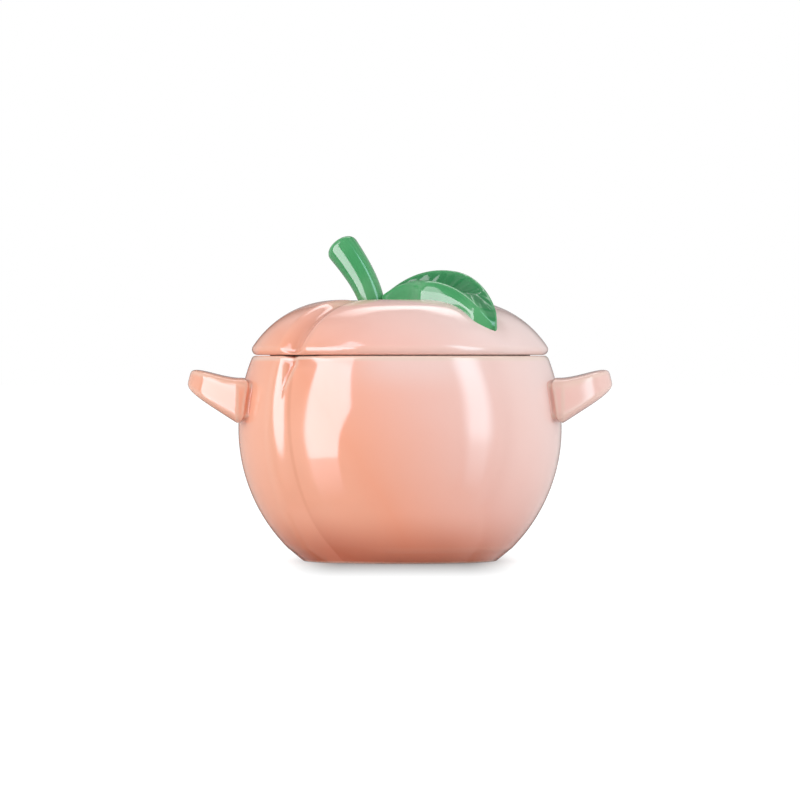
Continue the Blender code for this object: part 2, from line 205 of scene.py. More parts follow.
class StemSizes(PropertyGroup):
    offset: length("Offset", "Distance of the root from the lid's axis", 0.0098)
    lean: length("Lean", "How far the tip leans out", 0.0146)
    back: length("Back", "How far the tip leans to the back", 0.0095)
    height: length("Height", "Height of the tip above the root", 0.0298)
    straight: length("Straight", "Height that the stem keeps upright", 0.0120)
    sway: length("Sway", "Lean of the upright stretch", 0.0015)
    root_radius: length("Root radius", "Radius at the root", 0.0047)
    tip_radius: length("Tip radius", "Radius at the tip", 0.0065)
    tip_round: length("Tip round", "Rounding of the tip's edge", 0.0030)
    tip_dome: length("Tip dome", "Height of the dome on the tip", 0.0006)
    fillet: length("Fillet", "Radius of the glazed fillet round the root", 0.0016)


class LeafSizes(PropertyGroup):
    root: length("Root", "Distance of the root from the lid's axis", 0.0071)
    root_angle: angle("Root angle", "Direction of the root", 190)
    bow: length("Bow", "Distance of the midrib's bow from the axis", 0.0252)
    bow_angle: angle("Bow angle", "Direction of the bow", -21)
    tip_inset: length("Tip inset", "Distance of the tip from the lid's edge", 0.0052)
    tip_angle: angle("Tip angle", "Direction of the tip", -46.6)
    tip_width: length("Tip width", "Half the width at root and tip", 0.0016)
    near_width: length("Near width", "Greatest width on the near side of the midrib", 0.0108)
    far_width: length("Far width", "Greatest width on the far side of the midrib", 0.0064)
    prow_share: share("Prow share", "Share of the leaf's length that the blunt tip takes", 0.06)
    prow_taper: share("Prow taper", "How much narrower the tip is at its very end, as a rounding", 0.94)
    prow_fall: share("Prow fall", "How much the tip drops at its very end, as a rounding", 0.75)
    root_rise: length("Root rise", "Height at the root", 0.0016)
    tip_rise: length("Tip rise", "Height at the tip", 0.0055)
    near_arch: length("Near arch", "Pull of the near lip by the root", 0.0148)
    near_fall: length("Near fall", "Pull of the near lip by the tip", 0.0020)
    far_arch: length("Far arch", "Pull of the far lip by the root", 0.0226)
    far_fall: length("Far fall", "Pull of the far lip by the tip", 0.0046)
    cup: share("Cup", "Depth of the trough as a share of the near lip's height", 0.70)
    near_lip: share("Near lip", "Place of the near lip across the leaf", -0.62)
    trough: share("Trough", "Place of the trough across the leaf", -0.16)
    far_lip: share("Far lip", "Place of the far lip across the leaf", 0.76)
    forward: share("Forward", "Moves the widest place: less is nearer the tip", 0.97)
    bluntness: share("Bluntness", "Fullness of the outline: less is blunter", 0.83)
    cup_fullness: share("Cup fullness", "How soon the trough gets its depth: less is sooner", 0.6)
    cup_end: share("Cup end", "Where the trough ends before the tip", 0.78)
    first_swell: length("First swell", "Height of the near edge's swelling by the root", 0.0018)
    first_place: share("First place", "Place of that swelling along the leaf", 0.44)
    first_length: share("First length", "Half that swelling's length as a share of the leaf's", 0.07)
    last_swell: length("Last swell", "Height of the near edge's swelling by the tip", 0.0064)
    last_place: share("Last place", "Place of that swelling along the leaf: past 1 is beyond the tip", 1.12)
    last_length: share("Last length", "Half that swelling's length as a share of the leaf's", 0.20)
    vein_rise: length("Vein rise", "Height of the side veins", 0.00022)
    vein_count: share("Vein count", "Number of side veins along the leaf", 10)
    vein_slant: share("Vein slant", "How far the veins run towards the tip, in steps between veins", 1.6)
    vein_width: share("Vein width", "Width of a side vein as a share of the step between veins", 0.20)


class CreaseSizes(PropertyGroup):
    angle: angle("Angle", "Direction of the crease at the rim", 224.2)
    swing: angle("Swing", "How far it turns on its way down", 6.1)
    foot_swing: angle("Foot swing", "How much further it turns by the foot", 5.4)
    bend: share("Bend", "How near the foot that turn comes: more is nearer", 10.0)
    left_width: length("Left width", "Width of the side away from the leaf", 0.0165)
    right_width: length("Right width", "Width of the side towards the leaf", 0.0305)
    rim_share: share("Rim share", "Share of those widths at the rim", 0.667)
    narrowing: share("Narrowing", "How near the rim the crease narrows: more is nearer", 1.35)
    lateness: share("Lateness", "How near their outer edge the sides are steepest: 1 is halfway", 1.1)
    pot_depth: length("Pot depth", "Depth at the rim", 0.00165)
    foot_share: share("Foot share", "Share of that depth at the foot", 0.8)
    nick_depth: length("Nick depth", "Depth at the rim of the wedge-shaped nick beside the bottom", 0.0024)
    nick_left: length("Nick left", "Width of its side away from the leaf at the rim", 0.0050)
    nick_right: length("Nick right", "Width of its side towards the leaf at the rim", 0.0040)
    nick_length: length("Nick length", "Distance below the rim at which it ends", 0.0170)
    nick_top: length("Nick top", "Distance of its bottom from the crease's at the rim", 0.0018)
    nick_end: length("Nick end", "Distance of its end from the crease's bottom", 0.0052)
    # The line along the crease's bottom is darker with thicker glaze and painted shade
    line_width: length("Line width", "Half width of the line of thicker glaze along the bottom", 0.0007)
    # The next two set painted shade on the crease's side towards the leaf by the foot, where that flank lies
    # in shade
    painted_shade_width: length("Pool width", "How far beside its bottom glaze pools by the foot", 0.0150)
    painted_shade_height: length("Pool height", "How far up from the foot it pools there", 0.0250)
    lid_depth: length("Lid depth", "Depth on the lid", 0.0026)
    lid_left: length("Lid left", "Width on the lid of the side away from the leaf", 0.0095)
    lid_right: length("Lid right", "Width on the lid of the side towards the leaf", 0.0070)
    lid_aim: length("Lid aim", "Depth of the point that the lid's crease is pressed towards", 0.0237)


class GlazeColours(PropertyGroup):
    apricot: colour("Apricot", "Pale orange at the far left", (0.92, 0.445, 0.305))
    orange: colour("Orange", "Deep peach at the front left", (0.92, 0.40, 0.265))
    peach: colour("Peach", "Between orange and pink", (0.88, 0.515, 0.445))
    pink: colour("Pink", "Pale pink on the right", (0.865, 0.665, 0.635))
    thin: colour("Thin glaze", "Clay that shows through on edges", (0.80, 0.66, 0.55))
    # Pooled glaze and shade: thick glaze and painted shade together, which darken hollows, the crease and
    # the foot
    pooled_and_shade: colour("Pooled glaze", "Thick glaze in hollows", (0.56, 0.165, 0.085))
    cream: colour("Cream", "Liner glaze inside", (0.87, 0.75, 0.66))
    stoneware: colour("Stoneware", "Bare clay under the foot", (0.70, 0.58, 0.46))
    green: colour("Green", "Stem and leaf", (0.048, 0.330, 0.113))
    # Deep green and shade: thick glaze and painted shade together, which darken the leaf's cup and the
    # hollows
    green_deep_and_shade: colour("Deep green", "Thick glaze in hollows", (0.016, 0.195, 0.062))
    green_thin: colour("Thin green", "Thin glaze on edges", (0.165, 0.470, 0.220))


class CocotteSettings(PropertyGroup):
    pot: PointerProperty(type=PotSizes)
    handle: PointerProperty(type=HandleSizes)
    lid: PointerProperty(type=LidSizes)
    stem: PointerProperty(type=StemSizes)
    leaf: PointerProperty(type=LeafSizes)
    crease: PointerProperty(type=CreaseSizes)
    glaze: PointerProperty(type=GlazeColours)


# Sections

def arc(centre, radius, start, end, count):
    """Points on an arc, both ends included; angles are measured up from the outward direction."""
    angles = [start + (end - start) * i / count for i in range(count + 1)]
    return [(centre[0] + radius * math.cos(a), centre[1] + radius * math.sin(a)) for a in angles]


def sweep(start, first, second, end, count):
    """Points on a cubic curve, both ends included."""
    return [tuple(p)[:2] for p in interpolate_bezier(start, first, second, end, count + 1)]


def arc_radius(inset, rise):
    """Radius of the arc that leaves the belly upright and is inset by so much after such a rise."""
    return (inset * inset + rise * rise) / (2 * inset)


def side_radii(pot):
    """Radii of the arcs that run up and down from the belly."""
    upper = arc_radius(pot.shoulder_inset, pot.rim_height - pot.belly_height)
    inset = pot.belly_radius - pot.foot_radius - pot.foot_flare
    return upper, arc_radius(inset, pot.belly_height - pot.foot_height)


def shoulder_radius(pot):
    return pot.belly_radius - pot.shoulder_inset


def mouth_radius(pot):
    return shoulder_radius(pot) - pot.rim_width


def lid_radius(pot, lid):
    return shoulder_radius(pot) + lid.overhang


def lid_seat(pot, lid):
    return pot.rim_height + lid.seat_gap


def ring_radii(pot, lid):
    outer = mouth_radius(pot) - lid.ring_play
    return outer, outer - lid.ring_wall


def pot_outside(pot):
    """Outer side of the pot from the top of the rim down to the foot."""
    upper, lower = side_radii(pot)
    round_height = pot.rim_height - pot.rim_round
    reach = math.sqrt((upper - pot.rim_round) ** 2 - (round_height - pot.belly_height) ** 2)
    tilt = math.atan2(round_height - pot.belly_height, reach)
    centre = (pot.belly_radius - upper, pot.belly_height)
    points = arc((centre[0] + reach, round_height), pot.rim_round, math.pi / 2, tilt, RIM_STEPS)
    points += arc(centre, upper, tilt, 0, SHOULDER_STEPS)[1:]

    centre = (pot.belly_radius - lower, pot.belly_height)
    tilt = -math.asin((pot.belly_height - pot.foot_height) / lower)
    points += arc(centre, lower, 0, tilt, BELLY_STEPS)[1:]
    foot = arc((pot.foot_radius, pot.foot_round), pot.foot_round, -math.pi / 4, -math.pi / 2, FOOT_STEPS)
    top = Vector(points[-1])
    points += [tuple(top.lerp(Vector(foot[0]), i / FLARE_STEPS)) for i in range(1, FLARE_STEPS)]
    return points + foot


def pot_inside(pot):
    """Inner side of the pot from the middle of the floor up to the rim."""
    upper, lower = side_radii(pot)
    centre = (pot.belly_radius - lower, pot.belly_height)
    depth = pot.belly_height - pot.floor_height - pot.floor_round
    reach = math.sqrt((lower - pot.wall - pot.floor_round) ** 2 - depth ** 2)
    tilt = -math.atan2(depth, reach)
    corner = (centre[0] + reach, pot.floor_height + pot.floor_round)
    points = [(corner[0] * i / FLOOR_STEPS, pot.floor_height) for i in range(FLOOR_STEPS)]
    points += arc(corner, pot.floor_round, -math.pi / 2, tilt, CORNER_STEPS)
    points += arc(centre, lower - pot.wall, tilt, 0, LOWER_WALL_STEPS)[1:]

    rise = pot.rim_height - pot.belly_height
    centre = (pot.belly_radius - upper, pot.belly_height)
    throat = math.asin((rise - pot.throat_depth) / (upper - pot.wall))
    points += arc(centre, upper - pot.wall, 0, throat, UPPER_WALL_STEPS)[1:]
    start = Vector(points[-1])
    end = Vector((mouth_radius(pot), pot.rim_height - pot.mouth_round))
    first = start + Vector((-math.sin(throat), math.cos(throat))) * pot.throat_pull
    points += sweep(start, first, end - Vector((0, pot.mouth_pull)), end, THROAT_STEPS)[1:]
    mouth = (end.x + pot.mouth_round, end.y)
    return points + arc(mouth, pot.mouth_round, math.pi, math.pi / 2, MOUTH_STEPS)[1:]


def pot_base(pot):
    """Underside of the pot from the foot's inner edge to the middle of the recess."""
    inner = pot.foot_radius - pot.foot_width
    return [(inner, 0.0), (inner - pot.foot_recess, pot.foot_recess), (0.0, pot.foot_recess)]


def lid_outside(pot, lid):
    """Top of the lid from the middle of the dimple out to where its edge starts to turn under."""
    points = []
    for i in range(DIMPLE_STEPS):
        hollow = lid.dimple_depth * (1 + math.cos(math.pi * i / DIMPLE_STEPS)) / 2
        points.append((lid.crest_radius * i / DIMPLE_STEPS, lid.rise - hollow))
    crest = Vector((lid.crest_radius, lid.rise))
    edge = Vector(lid_edge(pot, lid)[0])
    down = Vector((math.sin(lid.edge_tilt), -math.cos(lid.edge_tilt)))
    first = crest + Vector((lid.crest_sweep, 0))
    return points + sweep(crest, first, edge - down * lid.edge_sweep, edge, DOME_STEPS)


def lid_edge(pot, lid):
    """The lid's rounded edge, from its side to its underside."""
    centre = (lid_radius(pot, lid) - lid.edge_round, lid.edge_round)
    return arc(centre, lid.edge_round, lid.edge_tilt, -math.pi / 2, EDGE_STEPS)


def lid_inside(pot, lid):
    """Underside of the lid from the ring to the middle."""
    top = lid.rise - lid.wall
    start = Vector((ring_radii(pot, lid)[1], 0.0))
    end = Vector((lid.crest_radius, top))
    first = start + Vector((0, lid.inside_rise))
    points = sweep(start, first, end + Vector((lid.inside_sweep, 0)), end, UNDERSIDE_STEPS)
    for i in range(1, BULGE_STEPS + 1):
        bulge = lid.dimple_depth * (1 - math.cos(math.pi * i / BULGE_STEPS)) / 2
        points.append((lid.crest_radius * (1 - i / BULGE_STEPS), top - bulge))
    return points


def lid_height(outline, radius):
    """Height of the lid's top at a radius, without the crease."""
    for (inner, low), (outer, high) in zip(outline, outline[1:]):
        if radius <= outer:
            return low + (high - low) * (radius - inner) / (outer - inner)
    return 0.0


# Meshes

def spot_at(radius, around, height):
    return Vector((radius * math.cos(around), radius * math.sin(around), height))


def turned(name, rings, columns, place):
    """Turns rings of (radius, height, marks) about the upright axis; place sets points and first marks."""
    turns = [2 * math.pi * (i + 0.5) / columns - math.pi for i in range(columns)]
    offsets = [t - CROWDING * math.sin(t) for t in turns]
    points, marks, starts = [], [], []
    for radius, height, *traits in rings:
        starts.append(len(points))
        for offset in offsets if radius > 0 else offsets[:1]:
            point, press = place(radius, height, traits, offset)
            points.append(point)
            marks.append((press, *traits[1:]))
    faces = []
    for a, b, ring, following in zip(starts, starts[1:], rings, rings[1:]):
        for i in range(columns):
            j = (i + 1) % columns
            if ring[0] == 0:
                faces.append((a, b + j, b + i))
            elif following[0] == 0:
                faces.append((a + i, a + j, b))
            else:
                faces.append((a + i, a + j, b + j, b + i))
    mesh = bpy.data.meshes.new(name)
    mesh.from_pydata(points, [], faces)
    return mesh, marks


def stitched(rings, sides):
    """Faces between so many rings of points that follow one another."""
    faces = []
    for a in range(0, (rings - 1) * sides, sides):
        b = a + sides
        for k in range(sides):
            j = (k + 1) % sides
            faces.append((a + k, a + j, b + j, b + k))
    return faces


def sealed(mesh):
    """Turns every face outwards, smooths the mesh and marks its bends."""
    shell = bmesh.new()
    shell.from_mesh(mesh)
    bmesh.ops.recalc_face_normals(shell, faces=shell.faces[:])
    shell.to_mesh(mesh)
    shell.free()
    mesh.shade_smooth()
    mark_bends(mesh)


def mark(mesh, name, values):
    """Keeps one number per point for the glaze."""
    layer = mesh.attributes.new(name, "FLOAT", "POINT")
    layer.data.foreach_set("value", np.asarray(values, dtype=np.float32))


def mark_bends(mesh):
    """Marks sharp edges, where glaze runs thin, and hollows, which the glazes darken with pooled glaze and
    painted shade.
    """
    count = len(mesh.vertices)
    places = np.empty(count * 3)
    mesh.vertices.foreach_get("co", places)
    normals = np.empty(count * 3)
    mesh.vertices.foreach_get("normal", normals)
    ends = np.empty(len(mesh.edges) * 2, dtype=np.int64)
    mesh.edges.foreach_get("vertices", ends)
    places, normals, ends = places.reshape(-1, 3), normals.reshape(-1, 3), ends.reshape(-1, 2)
    step = places[ends[:, 1]] - places[ends[:, 0]]
    turn = normals[ends[:, 1]] - normals[ends[:, 0]]
    bend = (step * turn).sum(axis=1) / np.maximum((step * step).sum(axis=1), SHORTEST)
    outward = np.zeros(count)
    inward = np.zeros(count)
    for end in (0, 1):
        np.maximum.at(outward, ends[:, end], bend)
        np.maximum.at(inward, ends[:, end], -bend)
    mark(mesh, "edge", np.clip(outward * EDGE_RADIUS, 0, 1))
    mark(mesh, "hollow", np.clip(inward * HOLLOW_RADIUS, 0, 1))


def pressed(aside, left_width, right_width, lateness=1.0):
    """How much of a crease's depth is left so far to a side of its bottom."""
    away = abs(aside) / (left_width if aside < 0 else right_width)
    return (1 + math.cos(math.pi * min(away, 1.0) ** lateness)) / 2


def nicked(crease, aside, below):
    """Depth of the nick so far to a side of the crease's bottom and so far below the rim."""
    left = max(1 - below / crease.nick_length, 0.0)
    aside += crease.nick_end + (crease.nick_top - crease.nick_end) * left
    width = (crease.nick_left if aside < 0 else crease.nick_right) * left
    return crease.nick_depth * left * max(1 - abs(aside) / width, 0.0) if width else 0.0


def show(mesh, body, node, glaze):
    """Shows a mesh as a glazed piece that rides on a body and stands for a node."""
    piece = bpy.data.objects.new(mesh.name, mesh)
    bpy.context.scene.collection.objects.link(piece)
    mesh.materials.append(glaze)
    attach(piece, body)
    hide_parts(node)


# Glazes: places are in metres, and noises are given as scale and detail
REFRACTION = 1.62
NOISE_MIDDLE = 0.5
SLOW_WAVES = (38.0, 1.0)
FINE_WAVES = (420.0, 2.0)
FINE_SHARE = 0.012
PATCHES = (130.0, 2.0)
PEACH_CLOUDS = (22.0, 2.0)
PEACH_DRIFT = 0.020
PEACH_STOPS = (0.0, 0.2, 0.6, 1.0)
PEACH_ROUGHNESS = (0.07, 0.05)
PEACH_WAVES = 0.00009
CREAM_WEAR = 0.5
CREAM_ROUGHNESS = (0.09, 0.05)
CREAM_WAVES = 0.00018
BARE_ROUGHNESS = 0.5
GREEN_CLOUDS = (70.0, 3.0)
GREEN_CLOUD_RANGE = (0.35, 0.7)
GREEN_CLOUD_SHARE = 0.35
GREEN_PATCHES = (200.0, 2.0)
GREEN_ROUGHNESS = (0.08, 0.06)
GREEN_WAVES = 0.00008

# The front of the pot, from its left and to its right, and the heights where the glaze pales there
FRONT_LEFT = (-0.026, 0.0)
FRONT_RIGHT = (0.015, 0.045)
PALING_HEIGHTS = (0.065, 0.081)

# Heights where the foot is darker with pooled glaze and painted shade, and how much less it is darker on the
# right
FOOT_DARKENING_HEIGHTS = (0.0, 0.022)
FOOT_DARKENING_LOSS = 0.6

# How strongly thick and thin glaze and painted shade change the colour
HOLLOW_POOLING_AND_SHADE = 0.25
FOOT_POOLING_AND_SHADE = 0.85
CREASE_POOLING_AND_SHADE = 0.28
GREEN_POOLING_AND_SHADE = 0.8
GREEN_THINNING = 0.2


class Term:
    """A number that changes over a surface; sums and products of terms add Math nodes."""

    def __init__(self, glaze, socket):
        self.glaze = glaze
        self.socket = socket

    def maths(self, operation, *values):
        node = self.glaze.node("ShaderNodeMath", {"operation": operation}, dict(enumerate(values)))
        return Term(self.glaze, node.outputs[0])

    def __add__(self, other):
        return self.maths("ADD", self, other)

    def __radd__(self, other):
        return self.maths("ADD", other, self)

    def __sub__(self, other):
        return self.maths("SUBTRACT", self, other)

    def __rsub__(self, other):
        return self.maths("SUBTRACT", other, self)

    def __mul__(self, other):
        return self.maths("MULTIPLY", self, other)

    def __truediv__(self, other):
        return self.maths("DIVIDE", self, other)

    def largest(self, other):
        return self.maths("MAXIMUM", self, other)

    def size(self):
        return self.maths("ABSOLUTE", self)


class Glaze:
    """Nodes of a material or of the world, built up from terms."""

    def __init__(self, owner):
        self.owner = owner
        owner.use_nodes = True
        self.tree = owner.node_tree
        self.tree.nodes.clear()

    def node(self, kind, settings=None, sockets=None):
        """Adds a node: its settings first, then the values or links of its sockets."""
        node = self.tree.nodes.new(kind)
        for key, value in (settings or {}).items():
            if key == "stops":
                set_stops(node.color_ramp, value)
            else:
                setattr(node, key, value)
        for key, value in (sockets or {}).items():
            if isinstance(value, Term):
                self.tree.links.new(value.socket, node.inputs[key])
            elif isinstance(value, bpy.types.NodeSocket):
                self.tree.links.new(value, node.inputs[key])
            else:
                node.inputs[key].default_value = value
        return node

    def term(self, node, output=0):
        return Term(self, node.outputs[output])

    def marked(self, name):
        return self.term(self.node("ShaderNodeAttribute", {"attribute_name": name}), "Fac")

    def place(self):
        return self.node("ShaderNodeTexCoord").outputs["Object"]

    def noise(self, place, scale, detail):
        node = self.node("ShaderNodeTexNoise", {}, {"Vector": place, "Scale": scale, "Detail": detail})
        return self.term(node, "Fac")

    def between(self, value, low, high):
        """0 below low, 1 above high, eased between."""
        settings = {"interpolation_type": "SMOOTHSTEP"}
        sockets = {"Value": value, "From Min": low, "From Max": high}
        return self.term(self.node("ShaderNodeMapRange", settings, sockets))

    def blend(self, factor, low, high):
        """From low, where the factor is 0, to high, where it is 1."""
        sockets = {"Value": factor, "To Min": low, "To Max": high}
        return self.term(self.node("ShaderNodeMapRange", {}, sockets))

    def mix(self, factor, first, second):
        """Mixes two colours."""
        settings = {"data_type": "RGBA", "blend_type": "MIX"}
        sockets = {"Factor": factor, 6: first, 7: second}
        return self.node("ShaderNodeMix", settings, sockets).outputs[2]

    def finish(self, shader, output="ShaderNodeOutputMaterial"):
        self.node(output, {}, {"Surface": shader.outputs[0]})
        return self.owner


def set_stops(ramp, stops):
    ramp.interpolation = "LINEAR"
    while len(ramp.elements) < len(stops):
        ramp.elements.new(0.5)
    for element, (position, shade) in zip(ramp.elements, stops):
        element.position = position
        element.color = shade


def opaque(shade):
    return (*shade, 1.0)


def glazed(glaze, place, base, roughness, waves):
    """The glossy coat that every glaze here has, with the slight unevenness of a poured glaze."""
    height = glaze.noise(place, *SLOW_WAVES) + glaze.noise(place, *FINE_WAVES) * FINE_SHARE
    sockets = {"Height": height, "Strength": 1.0, "Distance": waves}
    bump = glaze.node("ShaderNodeBump", {}, sockets).outputs[0]
    sockets = {"Base Color": base, "Roughness": roughness, "Normal": bump, "IOR": REFRACTION}
    return glaze.finish(glaze.node("ShaderNodeBsdfPrincipled", {}, sockets))


def patchy(glaze, place, patches, roughness):
    """Roughness that rises so much in patches."""
    least, rise = roughness
    return least + glaze.noise(place, *patches) * rise


def peach_glaze(name, colours, lean, start, end, thinning, paling=0.0):
    """Orange at the left fading to pale pink, along X and so much of Z, between two places; it runs thin on
    edges, pales at the front below the rim, and is darker with pooled glaze and painted shade in hollows,
    along the crease and by the foot."""
    glaze = Glaze(bpy.data.materials.new(name))
    place = glaze.place()
    split = glaze.node("ShaderNodeSeparateXYZ", {}, {0: place})
    aside, height = glaze.term(split, "X"), glaze.term(split, "Z")
    cloud = glaze.noise(place, *PEACH_CLOUDS) - NOISE_MIDDLE
    along = aside + height * lean + cloud * PEACH_DRIFT
    blush = (along - start) / (end - start)
    shades = (colours.apricot, colours.orange, colours.peach, colours.pink)
    stops = [(at, opaque(shade)) for at, shade in zip(PEACH_STOPS, shades)]
    base = glaze.node("ShaderNodeValToRGB", {"stops": stops}, {0: blush}).outputs[0]
    right = glaze.between(aside, *FRONT_RIGHT)
    front = glaze.between(aside, *FRONT_LEFT) * (1 - right)
    pale = glaze.between(height, *PALING_HEIGHTS) * front * paling
    base = glaze.mix(pale, base, opaque(colours.pink))
    # Darker by the foot, less so on the right: pooled glaze and painted shade
    foot = (1 - glaze.between(height, *FOOT_DARKENING_HEIGHTS)) * (1 - right * FOOT_DARKENING_LOSS)
    pooling_and_shade = (glaze.marked("hollow") * HOLLOW_POOLING_AND_SHADE).largest(foot * FOOT_POOLING_AND_SHADE)
    # Hollows, the crease and the foot are darker with thick glaze and painted shade
    deepening = pooling_and_shade + glaze.marked("crease") * CREASE_POOLING_AND_SHADE
    base = glaze.mix(deepening, base, opaque(colours.pooled_and_shade))
    base = glaze.mix(glaze.marked("edge") * thinning, base, opaque(colours.thin))
    base = glaze.mix(glaze.marked("liner"), base, opaque(colours.cream))
    bare = glaze.marked("bare")
    base = glaze.mix(bare, base, opaque(colours.stoneware))
    roughness = patchy(glaze, place, PATCHES, PEACH_ROUGHNESS) + bare * BARE_ROUGHNESS
    return glazed(glaze, place, base, roughness, PEACH_WAVES)


def cream_glaze(name, colours):
    glaze = Glaze(bpy.data.materials.new(name))
    place = glaze.place()
    worn = glaze.marked("edge") * CREAM_WEAR
    base = glaze.mix(worn, opaque(colours.cream), opaque(colours.stoneware))
    roughness = patchy(glaze, place, PATCHES, CREAM_ROUGHNESS)
    return glazed(glaze, place, base, roughness, CREAM_WAVES)


def green_glaze(name, colours):
    glaze = Glaze(bpy.data.materials.new(name))
    place = glaze.place()
    cloud = glaze.between(glaze.noise(place, *GREEN_CLOUDS), *GREEN_CLOUD_RANGE) * GREEN_CLOUD_SHARE
    base = glaze.mix(cloud, opaque(colours.green), opaque(colours.green_thin))
    # Hollows and the leaf's cup are darker with thick glaze and painted shade
    base = glaze.mix(glaze.marked("hollow") * GREEN_POOLING_AND_SHADE, base, opaque(colours.green_deep_and_shade))
    base = glaze.mix(glaze.marked("edge") * GREEN_THINNING, base, opaque(colours.green_thin))
    roughness = patchy(glaze, place, GREEN_PATCHES, GREEN_ROUGHNESS)
    return glazed(glaze, place, base, roughness, GREEN_WAVES)


# Pieces

class COCOTTE_OT_pot(Operator):
    """Builds the pot's body with its rim, foot, inside and crease"""

    bl_idname = "cocotte.pot"
    bl_label = "Pot body"

    def execute(self, context):
        settings = context.scene.cocotte
        pot, crease = settings.pot, settings.crease
        rings = [(r, z, 0.0, 1.0, 0.0) for r, z in pot_inside(pot)]
        for r, z in pot_outside(pot):
            depth = crease.foot_share + (1 - crease.foot_share) * z / pot.rim_height
            depth *= min(z / pot.foot_height, 1.0)
            depth *= min(RIM_PRESS + (1 - RIM_PRESS) * (pot.rim_height - z) / pot.rim_round, 1.0)
            rings.append((r, z, depth, 0.0, 1.0 if z <= 0.0 else 0.0))
        rings += [(r, z, 0.0, 0.0, 1.0) for r, z in pot_base(pot)]
        aim = Vector((0, 0, pot.belly_height))

        def place(radius, height, marks, offset):
            spread = 1 - (1 - crease.rim_share) * max(height / pot.rim_height, 0.0) ** crease.narrowing
            aside = offset * radius
            left, right = crease.left_width * spread, crease.right_width * spread
            depth = crease.pot_depth * marks[0] * pressed(aside, left, right, crease.lateness)
            depth += nicked(crease, aside, pot.rim_height - height) * math.sqrt(marks[0])
            line = math.exp(-(aside / crease.line_width) ** 2) * marks[0]
            # By the foot the crease's side towards the leaf is darker as painted shade
            if aside > 0:
                low = max(1 - height / crease.painted_shade_height, 0.0)
                line = max(line, math.sqrt(low) * math.exp(-aside / crease.painted_shade_width))
            down = max(1 - height / pot.rim_height, 0.0)
            around = crease.angle + crease.swing * down + crease.foot_swing * down ** crease.bend + offset
            spot = spot_at(radius, around, height)
            return spot + (aim - spot).normalized() * depth, line

        mesh, marks = turned("pot_body_glazed", rings, POT_COLUMNS, place)
        sealed(mesh)
        for name, values in zip(("crease", "liner", "bare"), zip(*marks)):
            mark(mesh, name, values)
        glaze = peach_glaze(
            "peach_glaze_pot", settings.glaze,
            lean=0.60, start=-0.015, end=0.0989, thinning=0.60, paling=0.55,
        )
        show(mesh, "pot", "pot_body", glaze)
        return {"FINISHED"}


def distance_to_pot(outline, spot):
    """Distance of a point from the pot's side, negative inside."""
    at = Vector((spot.xy.length, spot.z))
    best, sign = None, 1.0
    for a, b in zip(outline, outline[1:]):
        step = b - a
        reach = max(0.0, min(1.0, (at - a).dot(step) / step.length_squared))
        away = at - (a + step * reach)
        if best is None or away.length < best:
            best = away.length
            sign = 1.0 if step.x * away.y - step.y * away.x > 0 else -1.0
    return best * sign


def handle_spot(pot, handle, along, v, w):
    """A point of a block drawn out to a tongue that thins and rises towards its tip, at +X; along, v and w
    run from -1 to 1 along the block, across it and up it."""
    x = (handle.reach - handle.sink) / 2 + (handle.reach + handle.sink) / 2 * along
    out = max(x / handle.reach, 0.0)
    top = handle.lift * out ** handle.sag
    bottom = -handle.root_thickness * (1 - out) + (handle.lift - handle.tip_thickness) * out
    under = (1 - w) / 2
    narrowing = 1 - handle.side_taper * out - handle.tip_taper * out ** handle.tip_power
    x += handle.slant * out * under
    foot = Vector((pot.belly_radius, 0, pot.rim_height - handle.drop))
    return foot + Vector((x, handle.half_width * narrowing * v, top + (bottom - top) * under))


def unit(first, second, power):
    """The same direction, on a rounded square."""
    size = (abs(first) ** power + abs(second) ** power) ** (1 / power)
    return first / size, second / size


def handle_line(pot, handle, around):
    """One of the lines that run along a handle, as a function of an angle from root to tip."""
    side = unit(math.cos(around), math.sin(around), handle.crispness)

    def at(turn):
        along, wide = unit(math.sin(turn), math.cos(turn), handle.roundness)
        return handle_spot(pot, handle, along, side[0] * wide, side[1] * wide)

    return at


def turn_at(outline, line, distance):
    """The angle at which a handle's line is so far from the pot."""
    low, high = -TURN_LIMIT, TURN_LIMIT
    for _ in range(HALVINGS):
        middle = (low + high) / 2
        if distance_to_pot(outline, line(middle)) < distance:
            low = middle
        else:
            high = middle
    return high


